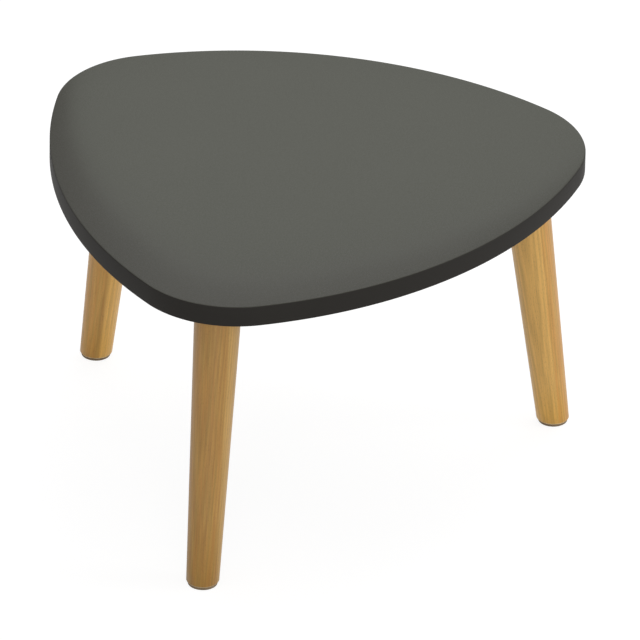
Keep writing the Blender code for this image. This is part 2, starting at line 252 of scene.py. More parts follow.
def satin_lacquer():
    """Sprayed satin lacquer on MDF: matt enough to show no image, with a faint orange peel in its sheen.

    The colour clouds very slightly over a hand's breadth. Where the surface stands upright, on the porous
    cut edge, it is duller, and its colour is darkened there as painted shade. Matting grains, drawn coarser
    than real, break up the roughness."""
    material, tree, shader, place = new_material("satin_lacquer_on_mdf")
    cloud = add_node(
        tree, "ShaderNodeTexNoise", {"Vector": place, "Scale": 1 / CLOUD_SIZE, "Detail": CLOUD_DETAIL}
    )
    face = add_node(
        tree,
        "ShaderNodeMix",
        {"Factor": cloud.outputs["Fac"], COLOUR_A: linear(FACE_COLOUR), COLOUR_B: linear(FACE_CLOUD_COLOUR)},
        data_type="RGBA",
    )
    normal = add_node(tree, "ShaderNodeNewGeometry").outputs["Normal"]
    upward = add_node(tree, "ShaderNodeSeparateXYZ", {0: normal}).outputs["Z"]
    flatness = add_node(tree, "ShaderNodeMath", {0: upward}, operation="ABSOLUTE")
    on_face = add_node(
        tree,
        "ShaderNodeMapRange",
        {"Value": flatness.outputs[0], "From Min": RIM_UPRIGHTNESS, "From Max": FACE_FLATNESS},
        interpolation_type="SMOOTHSTEP",
    )
    # Painted shade: where the surface stands upright, the colour passes to the darker rim colour.
    colour = add_node(
        tree,
        "ShaderNodeMix",
        {"Factor": on_face.outputs[0], COLOUR_A: linear(RIM_SHADE_COLOUR), COLOUR_B: face.outputs[MIXED_COLOUR]},
        data_type="RGBA",
    )
    grains = add_node(
        tree, "ShaderNodeTexNoise", {"Vector": place, "Scale": 1 / MATTING_SIZE, "Detail": MATTING_DETAIL}
    )
    least = add_node(
        tree,
        "ShaderNodeMapRange",
        {"Value": on_face.outputs[0], "To Min": RIM_ROUGHNESS, "To Max": FACE_ROUGHNESS},
    )
    roughness = add_node(
        tree,
        "ShaderNodeMath",
        {0: grains.outputs["Fac"], 1: ROUGHNESS_SPREAD, 2: least.outputs[0]},
        operation="MULTIPLY_ADD",
    )
    peel = add_node(
        tree,
        "ShaderNodeTexNoise",
        {"Vector": place, "Scale": 1 / ORANGE_PEEL_SIZE, "Detail": ORANGE_PEEL_DETAIL},
    )
    peel_bump = add_node(
        tree, "ShaderNodeBump", {"Height": peel.outputs["Fac"], "Distance": ORANGE_PEEL_HEIGHT}
    )
    grain_bump = add_node(
        tree,
        "ShaderNodeBump",
        {"Height": grains.outputs["Fac"], "Distance": MATTING_HEIGHT, "Normal": peel_bump.outputs[0]},
    )
    feed_shader(tree, shader, colour.outputs[MIXED_COLOUR], roughness.outputs[0], grain_bump.outputs[0])
    shader.inputs["Specular IOR Level"].default_value = LACQUER_SPECULAR
    return material


outline_places, outline_outward, outline_shift = board_outline()
lacquer = satin_lacquer()
board_blank = board_mesh(outline_places, outline_outward)

# Leg places
# Each leg stands under the middle of a corner and leans outwards from the middle of the board. Its plate
# lies flat under the board, and its seat is tilted square to the leg.

LEG_INSETS = {"right": 0.0695, "back": 0.0641, "front": 0.0641}
LEG_SPLAY = radians(7.5)
SEAT_DROP = 0.01004

board_middle = sum(corner for corner, _, _ in CORNERS.values()) / len(CORNERS)
corner_frames = {}
axis_frames = {}
for name, (corner, corner_radius, _) in CORNERS.items():
    outward = (corner - board_middle) / np.hypot(*(corner - board_middle))
    x, y = corner + outward * (corner_radius - LEG_INSETS[name]) - (outline_shift, 0)
    facing = Matrix.Rotation(atan2(outward[1], outward[0]), 4, "Z")
    corner_frame = Matrix.Translation((x, y, UNDERSIDE)) @ facing
    seat = Matrix.Translation((SEAT_DROP * tan(LEG_SPLAY), 0, -SEAT_DROP))
    corner_frames[name] = corner_frame
    axis_frames[name] = corner_frame @ seat @ Matrix.Rotation(-LEG_SPLAY, 4, "Y")

# Leg plates
# Three squares of steel sheet, each pressed so that a round cup stands down from it, with a floor tilted
# square to the leg. The cup has a hole for the nut, the corners are countersunk for screws, and the whole
# plate is bright zinc plated.

PLATE_WIDTH = 0.070
PLATE_CORNER_RADIUS = 0.010
PLATE_THICKNESS = 0.0025
PLATE_EDGE_ROUND = 0.0004
PLATE_TOP = -PIECE_GAP
PLATE_BOTTOM = PLATE_TOP - PLATE_THICKNESS
CUP_RADIUS = 0.023
CUP_FLOOR_BEND = 0.0015
CUP_MOUTH_BEND = 0.0016
CUP_INNER_MOUTH_BEND = 0.003
CUP_INNER_FLOOR_BEND = 0.0008
BEND_STEPS = 5
PLATE_STEPS = 192
NUT_HOLE_RADIUS = 0.0059
SCREW_EDGE_DISTANCE = 0.010
SCREW_LENGTH = 0.020
SCREW_RADIUS = 0.002
SCREW_HEAD_RADIUS = 0.0039
SCREW_HEAD_DEPTH = 0.0019
SCREW_HEAD_LAND = 0.0003
SCREW_POINT_LENGTH = 0.005
SCREW_TIP_RADIUS = 0.0002
HOLE_STEPS = 40
CUT_OVERRUN = 0.004

ZINC_COLOUR = "C6C8C9"
ZINC_SHADE_COLOUR = "AEB1B3"
ZINC_CLOUD_SIZE = 0.012
ZINC_CLOUD_DETAIL = 3
ZINC_GRAIN_SIZE = 0.0006
ZINC_GRAIN_DETAIL = 2
ZINC_GRAIN_HEIGHT = 0.000006
ZINC_ROUGHNESS = (0.24, 0.42)


def bend(corner, one_way, other_way, radius):
    """Rings that round a corner of a section: corner + radius * ((1 - sin) one way + (1 - cos) the other)."""
    quarter = np.linspace(0, pi / 2, BEND_STEPS + 1)[:, None, None]
    return corner + radius * ((1 - np.sin(quarter)) * one_way + (1 - np.cos(quarter)) * other_way)


def rounded_square(angles, half_width, corner_radius):
    """Distance from the middle of a rounded square to its edge at each angle.

    On a straight side it is the half width over the larger of cos and sin, and round a corner it is where
    the ray leaves the corner's circle."""
    larger = np.maximum(np.abs(np.cos(angles)), np.abs(np.sin(angles)))
    smaller = np.minimum(np.abs(np.cos(angles)), np.abs(np.sin(angles)))
    straight = half_width / larger
    reach = (half_width - corner_radius) * np.sqrt(2)
    off_diagonal = angles % (pi / 2) - pi / 4
    inside = corner_radius**2 - (reach * np.sin(off_diagonal)) ** 2
    rounded = reach * np.cos(off_diagonal) + np.sqrt(np.maximum(inside, 0))
    return np.where(straight * smaller <= half_width - corner_radius, straight, rounded)


def plate_mesh(name):
    """A pressed plate in its corner's frame: rings about the cup, from the nut's hole outwards and back.

    They run over the cup's lower face, up its outer wall and out to the plate's edge, round it, and back
    over the upper face. Each bend is a quarter circle between wall and floor, or wall and plate."""
    angles = np.linspace(0, 2 * pi, PLATE_STEPS, endpoint=False)
    circle = np.column_stack((np.cos(angles), np.sin(angles), np.zeros(PLATE_STEPS)))
    tilt = np.array(Matrix.Rotation(-LEG_SPLAY, 3, "Y"))
    seat = np.array((SEAT_DROP * tan(LEG_SPLAY), 0, -SEAT_DROP))
    axis = tilt @ (0, 0, 1)
    spoke = circle @ tilt.T

    def on_floor(radius, height):
        """A circle about the leg's axis, at a height over the leg's head."""
        return seat + radius * spoke + height * axis

    def wall_meets(radius, level):
        """Where a wall of one radius, parallel to the leg, meets a level of the board's frame."""
        foot = on_floor(radius, 0)
        return foot + ((level - foot[:, 2]) / axis[2])[:, None] * axis

    def edge(level, inset):
        """The plate's square edge at a level, moved inwards by an inset."""
        reach = rounded_square(angles, PLATE_WIDTH / 2 - inset, PLATE_CORNER_RADIUS - inset)
        return reach[:, None] * circle + (0, 0, level)

    outer_mouth = wall_meets(CUP_RADIUS, PLATE_BOTTOM)
    inner_mouth = wall_meets(CUP_RADIUS - PLATE_THICKNESS, PLATE_TOP)
    away = outer_mouth - outer_mouth.mean(axis=0)
    away = away / np.linalg.norm(away, axis=1)[:, None]
    level_down = np.array((0, 0, -1))
    square_bottom = edge(PLATE_BOTTOM, 0)
    square_top = edge(PLATE_TOP, 0)
    rings = [
        on_floor(NUT_HOLE_RADIUS, 0)[None],
        bend(on_floor(CUP_RADIUS, 0), -spoke, axis, CUP_FLOOR_BEND),
        bend(outer_mouth, -axis, away, CUP_MOUTH_BEND),
        bend(square_bottom, -circle, -level_down, PLATE_EDGE_ROUND),
        bend(square_top, level_down, -circle, PLATE_EDGE_ROUND),
        bend(inner_mouth, away, -axis, CUP_INNER_MOUTH_BEND),
        bend(on_floor(CUP_RADIUS - PLATE_THICKNESS, PLATE_THICKNESS), axis, -spoke, CUP_INNER_FLOOR_BEND),
        on_floor(NUT_HOLE_RADIUS, PLATE_THICKNESS)[None],
    ]
    return ring_mesh(name, np.concatenate(rings), looped=True)


def cut(mesh, cutters):
    """The mesh less a list of cutters, each one closed solid."""
    piece = new_object(mesh.name, mesh)
    holders = [new_object("cutter", cutter) for cutter in cutters]
    for holder in holders:
        modifier = piece.modifiers.new("cut", "BOOLEAN")
        modifier.operation = "DIFFERENCE"
        modifier.solver = "EXACT"
        modifier.object = holder
    result = bpy.data.meshes.new_from_object(piece.evaluated_get(bpy.context.evaluated_depsgraph_get()))
    for spent in (piece, *holders):
        bpy.data.objects.remove(spent)
    return result


def screw_places():
    """The four screw places on a plate, from its middle."""
    reach = PLATE_WIDTH / 2 - SCREW_EDGE_DISTANCE
    return [(reach, reach), (-reach, reach), (-reach, -reach), (reach, -reach)]


def turned_rings(angles, heights, radii):
    """Rings about Z, one at each height. Their radius may be one for all, or change by height and angle."""
    rings = np.empty((len(heights), len(angles), 3))
    rings[..., 0] = radii * np.cos(angles)
    rings[..., 1] = radii * np.sin(angles)
    rings[..., 2] = heights[:, None]
    return rings


def screw_hole_mesh(place, to_world):
    """One screw's countersunk hole through the plate and on up into the board, with its clearance."""
    shank = SCREW_RADIUS + PIECE_GAP
    head = SCREW_HEAD_RADIUS + PIECE_GAP
    neck = SCREW_HEAD_LAND + SCREW_HEAD_DEPTH + PIECE_GAP
    profile = [
        (head, -CUT_OVERRUN),
        (head, SCREW_HEAD_LAND + PIECE_GAP),
        (shank, neck),
        (shank, SCREW_LENGTH - SCREW_POINT_LENGTH + PIECE_GAP),
        (SCREW_TIP_RADIUS, SCREW_LENGTH + PIECE_GAP),
    ]
    radii, heights = np.array(profile).T
    angles = np.linspace(0, 2 * pi, HOLE_STEPS, endpoint=False)
    mesh = ring_mesh("screw_hole", turned_rings(angles, heights, radii[:, None]))
    mesh.transform(to_world @ Matrix.Translation((*place, PLATE_BOTTOM)))
    return mesh


def bright_zinc():
    """Electroplated zinc on pressed steel: a pale, slightly blue metal with a soft sheen.

    Passivation clouds its colour and its gloss over a centimetre or so, and the plated grain, drawn coarser
    than real, keeps its highlights from being clean."""
    material, tree, shader, place = new_material("bright_zinc_on_steel")
    cloud = add_node(
        tree,
        "ShaderNodeTexNoise",
        {"Vector": place, "Scale": 1 / ZINC_CLOUD_SIZE, "Detail": ZINC_CLOUD_DETAIL},
    ).outputs["Fac"]
    colour = add_node(
        tree,
        "ShaderNodeMix",
        {"Factor": cloud, COLOUR_A: linear(ZINC_COLOUR), COLOUR_B: linear(ZINC_SHADE_COLOUR)},
        data_type="RGBA",
    )
    roughness = add_node(
        tree, "ShaderNodeMapRange", {"Value": cloud, "To Min": ZINC_ROUGHNESS[0], "To Max": ZINC_ROUGHNESS[1]}
    )
    grain = add_node(
        tree,
        "ShaderNodeTexNoise",
        {"Vector": place, "Scale": 1 / ZINC_GRAIN_SIZE, "Detail": ZINC_GRAIN_DETAIL},
    )
    bump = add_node(tree, "ShaderNodeBump", {"Height": grain.outputs["Fac"], "Distance": ZINC_GRAIN_HEIGHT})
    feed_shader(tree, shader, colour.outputs[MIXED_COLOUR], roughness.outputs[0], bump.outputs[0])
    shader.inputs["Metallic"].default_value = 1
    return material


pilot_holes = []
for corner_frame in corner_frames.values():
    pilot_holes += [screw_hole_mesh(place, corner_frame) for place in screw_places()]
add_piece("lacquered_board", cut(board_blank, pilot_holes), lacquer, "table_top")

zinc = bright_zinc()
for name, corner_frame in corner_frames.items():
    plate = plate_mesh(f"pressed_plate_{name}")
    plate.transform(corner_frame)
    plate = cut(plate, [screw_hole_mesh(place, corner_frame) for place in screw_places()])
    add_piece(f"pressed_plate_{name}", plate, zinc, f"leg_plate_{name}")

# Plate screws
# Twelve countersunk wood screws of zinc-plated steel, four to a plate, with a cross recess in the head and
# a coarse rolled thread that thins out at the neck and runs to a point.

SCREW_STEPS = 28
SCREW_HEAD_BREAK = 0.0002
SCREW_CORE_RADIUS = 0.00135
SCREW_NECK_RADIUS = 0.0015
SCREW_THREAD_START = 0.004
SCREW_THREAD_FADE = 0.0015
SCREW_TIP_FADE_SHARE = 0.5
SCREW_PITCH = 0.0018
WOOD_THREAD_SHARE = 0.5
ROWS_TO_A_PITCH = 9
RECESS_SPAN = 0.0042
RECESS_ROOT = 0.0012
RECESS_TIP = 0.0009
RECESS_DEPTH = 0.0014
RECESS_BOTTOM_SHARE = 0.45
TURN_BETWEEN_SCREWS = radians(37)


def ridge(angles, heights, pitch, width_share):
    """Height from 0 to 1 of a helical ridge that climbs one pitch a turn, and fills a share of the pitch."""
    phase = (heights[:, None] / pitch - angles / (2 * pi)) % 1
    return np.clip(1 - np.abs(2 * phase - 1) / width_share, 0, 1)


def recess_mesh():
    """The cross recess: a plus sign of four tapered arms, drawn in towards its bottom."""
    corner = np.array(((RECESS_ROOT, RECESS_ROOT), (RECESS_TIP, RECESS_SPAN), (-RECESS_TIP, RECESS_SPAN))) / 2
    quarter_turn = np.array(((0, 1), (-1, 0)))
    plus = np.concatenate([corner @ np.linalg.matrix_power(quarter_turn, turn) for turn in range(4)])
    rings = np.empty((3, len(plus), 3))
    rings[..., :2] = plus * np.array((1, 1, RECESS_BOTTOM_SHARE))[:, None, None]
    rings[..., 2] = np.array((-CUT_OVERRUN, 0, RECESS_DEPTH))[:, None]
    return ring_mesh("recess", rings)


def screw_mesh():
    """A screw that points up from its head's face: plain rings for the head and neck, then the thread.

    The thread's radius is the core plus the ridge's height. Over the point, the core shrinks evenly, and the
    ridge with the square root of what is left, times a fade over its last half."""
    angles = np.linspace(0, 2 * pi, SCREW_STEPS, endpoint=False)
    under_head = SCREW_HEAD_LAND + SCREW_HEAD_DEPTH
    plain_heights = np.array((0, SCREW_HEAD_BREAK, SCREW_HEAD_LAND, under_head, SCREW_THREAD_START))
    plain_radii = np.array(
        (
            SCREW_HEAD_RADIUS - SCREW_HEAD_BREAK,
            SCREW_HEAD_RADIUS,
            SCREW_HEAD_RADIUS,
            SCREW_RADIUS,
            SCREW_NECK_RADIUS,
        )
    )
    plain = turned_rings(angles, plain_heights, plain_radii[:, None])
    rows = round((SCREW_LENGTH - SCREW_THREAD_START) / SCREW_PITCH * ROWS_TO_A_PITCH)
    heights = np.linspace(SCREW_THREAD_START, SCREW_LENGTH, rows + 1)[1:]
    taper = np.clip((SCREW_LENGTH - heights) / SCREW_POINT_LENGTH, 0, 1)[:, None]
    fade = np.clip((heights - SCREW_THREAD_START) / SCREW_THREAD_FADE, 0, 1)[:, None]
    core = SCREW_TIP_RADIUS + (SCREW_CORE_RADIUS - SCREW_TIP_RADIUS) * taper
    tip_fade = np.minimum(taper / SCREW_TIP_FADE_SHARE, 1) * np.sqrt(taper)
    crest = (SCREW_RADIUS - SCREW_CORE_RADIUS) * tip_fade * fade
    radii = core + crest * ridge(angles, heights, SCREW_PITCH, WOOD_THREAD_SHARE)
    threaded = turned_rings(angles, heights, radii)
    blank = ring_mesh("screw", np.concatenate((plain, threaded)))
    return cut(blank, [recess_mesh()])


plain_screw = screw_mesh()
for name, corner_frame in corner_frames.items():
    for number, place in enumerate(screw_places(), start=1):
        screw = plain_screw.copy()
        turned = Matrix.Rotation(TURN_BETWEEN_SCREWS * number, 4, "Z")
        screw.transform(corner_frame @ Matrix.Translation((*place, PLATE_BOTTOM)) @ turned)
        add_piece(f"cross_screw_{name}_{number}", screw, zinc, f"plate_screw_{name}_{number}")
bpy.data.meshes.remove(plain_screw)

# Leg nuts
# Three round M8 nuts of zinc-plated steel. Each has a spigot that is pressed through the cup's floor from
# above, a knurled flange that lies on it, and a hub that gives the thread its length.

THREAD_RADIUS = 0.004
THREAD_DEPTH = 0.00065
THREAD_PITCH = 0.00125
THREAD_CLEARANCE = 0.00012
NUT_SPIGOT_RADIUS = 0.0056
NUT_LOW = PLATE_THICKNESS + PIECE_GAP
NUT_HUB_RADIUS = 0.0065
NUT_HUB_LENGTH = 0.0046
NUT_FLANGE_RADIUS = 0.0085
NUT_FLANGE_THICKNESS = 0.0016
NUT_EDGE_BREAK = 0.0002
KNURL_TEETH = 20
KNURL_DEPTH = 0.00025
STEPS_TO_A_TOOTH = 8


def thread_radius(angles, heights):
    """Radius of the M8 thread at each height and angle: the core plus a ridge as wide as its pitch."""
    core = THREAD_RADIUS - THREAD_DEPTH
    return core + THREAD_DEPTH * ridge(angles, heights, THREAD_PITCH, 1)


def nut_mesh(name, to_world):
    """A nut: rings up its outside, with the flange's radius waved for the knurl, and down the bore."""
    angles = np.linspace(0, 2 * pi, KNURL_TEETH * STEPS_TO_A_TOOTH, endpoint=False)
    high = NUT_LOW + NUT_HUB_LENGTH
    flange_high = NUT_LOW + NUT_FLANGE_THICKNESS
    outside = np.array(
        (
            (NUT_SPIGOT_RADIUS - NUT_EDGE_BREAK, PIECE_GAP, 0),
            (NUT_SPIGOT_RADIUS, PIECE_GAP + NUT_EDGE_BREAK, 0),
            (NUT_SPIGOT_RADIUS, NUT_LOW, 0),
            (NUT_FLANGE_RADIUS - NUT_EDGE_BREAK, NUT_LOW, 1),
            (NUT_FLANGE_RADIUS, NUT_LOW + NUT_EDGE_BREAK, 1),
            (NUT_FLANGE_RADIUS, flange_high - NUT_EDGE_BREAK, 1),
            (NUT_FLANGE_RADIUS - NUT_EDGE_BREAK, flange_high, 1),
            (NUT_HUB_RADIUS, flange_high, 0),
            (NUT_HUB_RADIUS, high - NUT_EDGE_BREAK, 0),
            (NUT_HUB_RADIUS - NUT_EDGE_BREAK, high, 0),
        )
    )
    wave = KNURL_DEPTH * (1 - np.cos(KNURL_TEETH * angles)) / 2
    outer = turned_rings(angles, outside[:, 1], outside[:, :1] - outside[:, 2:] * wave)
    rows = round((high - PIECE_GAP) / THREAD_PITCH * ROWS_TO_A_PITCH)
    heights = np.linspace(high, PIECE_GAP, rows + 1)
    bore = turned_rings(angles, heights, thread_radius(angles, heights) + THREAD_CLEARANCE)
    mesh = ring_mesh(name, np.concatenate((outer, bore)), looped=True)
    mesh.transform(to_world)
    return mesh


for name, axis_frame in axis_frames.items():
    nut = nut_mesh(f"knurled_nut_{name}", axis_frame)
    add_piece(f"knurled_nut_{name}", nut, zinc, f"leg_nut_{name}")

# Hanger bolts
# Three zinc-plated steel studs. The lower end is a coarse wood screw with a point, driven into the leg, and
# the upper end an M8 thread that screws into the nut. A plain collar lies between the two.

BOLT_TOP = 0.009
BOLT_TOP_CHAMFER = 0.0008
BOLT_COLLAR_TOP = -0.009
BOLT_COLLAR_BOTTOM = -0.014
BOLT_COLLAR_RADIUS = 0.0035
BOLT_END = -0.045
BOLT_POINT_LENGTH = 0.006
BOLT_POINT_RADIUS = 0.0015
BOLT_WOOD_CORE = 0.0028
BOLT_WOOD_PITCH = 0.003
BOLT_STEPS = 36


def bolt_mesh(name, to_world):
    """A hanger bolt: rings from its point up. Each end's radius is its core plus its helical ridge."""
    angles = np.linspace(0, 2 * pi, BOLT_STEPS, endpoint=False)
    wood_rows = round((BOLT_COLLAR_BOTTOM - BOLT_END) / BOLT_WOOD_PITCH * ROWS_TO_A_PITCH)
    wood = np.linspace(BOLT_END, BOLT_COLLAR_BOTTOM, wood_rows, endpoint=False)
    taper = np.clip((wood - BOLT_END) / BOLT_POINT_LENGTH, 0, 1)[:, None]
    crest_radius = BOLT_POINT_RADIUS + (THREAD_RADIUS - BOLT_POINT_RADIUS) * taper
    core_radius = crest_radius * BOLT_WOOD_CORE / THREAD_RADIUS
    helix = ridge(angles, wood, BOLT_WOOD_PITCH, WOOD_THREAD_SHARE)
    wood_radii = core_radius + (crest_radius - core_radius) * helix
    collar = np.array((BOLT_COLLAR_BOTTOM, BOLT_COLLAR_TOP))
    machine_rows = round((BOLT_TOP - BOLT_COLLAR_TOP) / THREAD_PITCH * ROWS_TO_A_PITCH)
    machine = np.linspace(BOLT_COLLAR_TOP, BOLT_TOP, machine_rows + 1)[1:]
    below_top = THREAD_RADIUS - np.clip(machine - (BOLT_TOP - BOLT_TOP_CHAMFER), 0, None)[:, None]
    rings = np.concatenate(
        (
            turned_rings(angles, wood, wood_radii),
            turned_rings(angles, collar, BOLT_COLLAR_RADIUS),
            turned_rings(angles, machine, np.minimum(thread_radius(angles, machine), below_top)),
        )
    )
    mesh = ring_mesh(name, rings)
    mesh.transform(to_world)
    return mesh


for name, axis_frame in axis_frames.items():
    bolt = bolt_mesh(f"threaded_stud_{name}", axis_frame)
    add_piece(f"threaded_stud_{name}", bolt, zinc, f"hanger_bolt_{name}")

# Legs
# Three turned cones of pale, straight-grained hardwood such as beech or rubberwood, square to their axis at
# the head and sawn level with the floor at the foot, with a small round all the way about the foot.
# They are sanded along the grain and sealed with a clear satin varnish.

LEG_HEAD_DIAMETER = 0.0536
LEG_FOOT_DIAMETER = 0.0374
LEG_HEAD_CHAMFER = 0.0006
FOOT_CHAMFER = 0.0014
FOOT_CHAMFER_ROUND = 0.0003
LEG_STEPS = 128
LEG_RINGS = 24
BORE_RADIUS = 0.0043
BORE_DEPTH = 0.0453
FOOT_LEVEL = 0.0033

WOOD_OLIVE = "C89B52"
WOOD_ROSY = "C8934D"
# Sapwood colours; the back leg's paler one, on its lit side, is partly painted light.
SAPWOOD_AND_LIT_SIDE_COLOURS = {"right": "DCAE62", "back": "EEBB67", "front": "DCAE62"}
# Painted highlight along the foot's edge.
FOOT_EDGE_HIGHLIGHT_COLOUR = "F6E0B8"
PORE_COLOUR = "7A5530"
# Each leg's tone: partly blanks that differ, partly painted light and shade between the legs.
LEG_TONES_AND_PAINTED_LIGHT = {"right": 1.3, "back": 1.2, "front": 0.86}
SAPWOOD_SIDES = {"right": radians(-150), "back": radians(-157), "front": radians(97)}
SAPWOOD_STARTS = {"right": 0.005, "back": 0.0085, "front": 0.0155}
SAPWOOD_FADE = 0.003
SAPWOOD_WANDER = 0.006
SAPWOOD_SHARE = 0.9
FIBRE_WIDTH = 0.0011
FIBRE_STRETCH = 0.022
FIBRE_DETAIL = 3
BAND_WIDTH = 0.0034
BAND_STRETCH = 0.02
BAND_DETAIL = 2
BAND_SHARE = 0.4
HUE_WIDTH = 0.0026
HUE_STRETCH = 0.035
HUE_DETAIL = 2
HUE_SPREAD = (0.35, 0.65)
# At a scale of 1, the rings of the Wave node lie this far apart.
WAVE_NODE_SPACING = 2 * pi / 20
RING_SPACING = 0.0038
RING_WANDER = 0.003
RING_SHARE = 0.14
FIGURE_SPREAD = (0.36, 0.64)
PALEST_WOOD = 1.1
DARKEST_WOOD = 0.84
PITH_DISTANCE = 0.07
PITH_LEAN = radians(0.6)
PORE_WIDTH = 0.00075
PORE_STRETCH = 0.13
PORE_REACH = (0.12, 0.26)
PORE_SHARE = 0.4
PORE_DEPTH_SHARE = 0.8
FIBRE_HEIGHT = 0.00004
FIBRE_BUMP = 0.6
VARNISH_ROUGHNESS = (0.34, 0.5)
# Painted shade: the colour darkens and deepens over the last stretch above the foot.
FOOT_SHADE_HEIGHTS = {"right": 0.06, "back": 0.06, "front": 0.09}
FOOT_SHADE_VALUES = {"right": 0.96, "back": 0.93, "front": 0.82}
FOOT_SHADE_SATURATION = 1.06
FOOT_EDGE_HIGHLIGHT_FADE = 0.0005
FOOT_EDGE_HIGHLIGHT_SHARE = 0.8


def leg_mesh(name, to_world):
    """A leg: rings turned about its axis down to the foot, where each line of the cone meets the saw cut.

    The head is flat about the bore. Down the side, a ring is the share of the way from the head's edge to
    the corner between cone and saw cut. A narrow chamfer, rounded a little at both of its edges, takes that
    corner off."""
    slope = (LEG_HEAD_DIAMETER - LEG_FOOT_DIAMETER) / 2 / (UNDERSIDE - SEAT_DROP) * cos(LEG_SPLAY)
    angles = np.linspace(0, 2 * pi, LEG_STEPS, endpoint=False)
    circle = np.column_stack((np.cos(angles), np.sin(angles), np.zeros(LEG_STEPS)))
    turn = np.array(to_world.to_3x3())
    origin = np.array(to_world.translation)
    head_radius = LEG_HEAD_DIAMETER / 2
    flat_radius = head_radius - LEG_HEAD_CHAMFER
    head = ((BORE_RADIUS, -BORE_DEPTH), (BORE_RADIUS, -PIECE_GAP), (flat_radius, -PIECE_GAP))
    rings = [(radius * circle + (0, 0, height)) @ turn.T + origin for radius, height in head]
    edge = (head_radius - slope * LEG_HEAD_CHAMFER) * circle + (0, 0, -PIECE_GAP - LEG_HEAD_CHAMFER)
    down = slope * -circle + (0, 0, -1)
    edge = edge @ turn.T + origin
    down = down @ turn.T
    fall = (edge[:, 2] - FOOT_LEVEL) / -down[:, 2]
    corner = edge + down * fall[:, None]
    foot_middle = corner.mean(axis=0)
    up = -down / np.linalg.norm(down, axis=1)[:, None]
    across = foot_middle - corner
    across = across / np.linalg.norm(across, axis=1)[:, None]
    start = corner + up * (FOOT_CHAMFER + FOOT_CHAMFER_ROUND)
    rings += [edge + (start - edge) * share for share in np.linspace(0, 1, LEG_RINGS)]
    slant = (across - up) / np.linalg.norm(across - up, axis=1)[:, None]
    high = corner + up * FOOT_CHAMFER
    low = corner + across * FOOT_CHAMFER
    rings += [high + slant * FOOT_CHAMFER_ROUND, low - slant * FOOT_CHAMFER_ROUND]
    rings += [low + across * FOOT_CHAMFER_ROUND, low + across * FOOT_CHAMFER]
    return ring_mesh(name, np.array(rings)[::-1])


